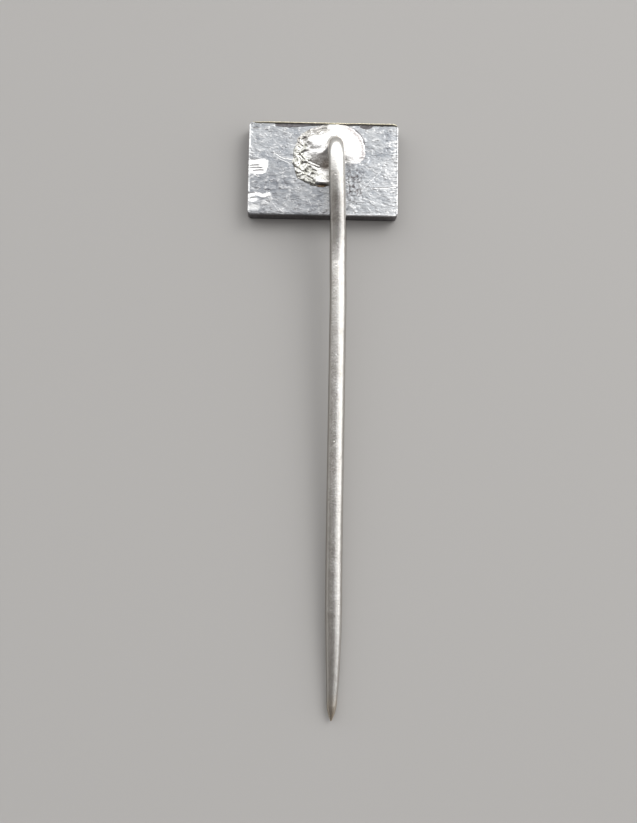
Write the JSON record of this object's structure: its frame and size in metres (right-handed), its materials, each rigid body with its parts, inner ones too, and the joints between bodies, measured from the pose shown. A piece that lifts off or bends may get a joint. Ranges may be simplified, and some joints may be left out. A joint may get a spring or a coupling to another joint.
{
  "type": "tie tack",
  "caption": "Small rectangular struck badge with an enamelled front and a bent pin wire soldered to its back, for pushing through a tie or lapel.",
  "frame": {"origin": "middle of the plate's front face, which lies face down", "axes": "+Z out of the plate's back, along the wire's foot; -Y the way the pin runs, from the plate to the point; X across the plate's width"},
  "size_m": [0.012, 0.047, 0.0047],
  "materials": {
    "plate": "nickel-silver plating, dull and mottled, on struck brass",
    "wire": "nickel-plated, smooth, fine drawing marks",
    "solder": "bright soft solder, smooth cone and wrinkled edge",
    "enamel_ivory": "hard enamel, polished",
    "enamel_red": "hard enamel, polished",
    "enamel_blue": "hard enamel, polished"
  },
  "bodies": {
    "root": {"badge_plate": "plate", "pin_wire": "wire", "solder_joint": "solder", "enamel_band": "enamel_ivory", "enamel_stripe_left": "enamel_red", "enamel_stripe_right": "enamel_red", "enamel_corner_left": "enamel_blue", "enamel_corner_right": "enamel_blue"}
  },
  "joints": []
}
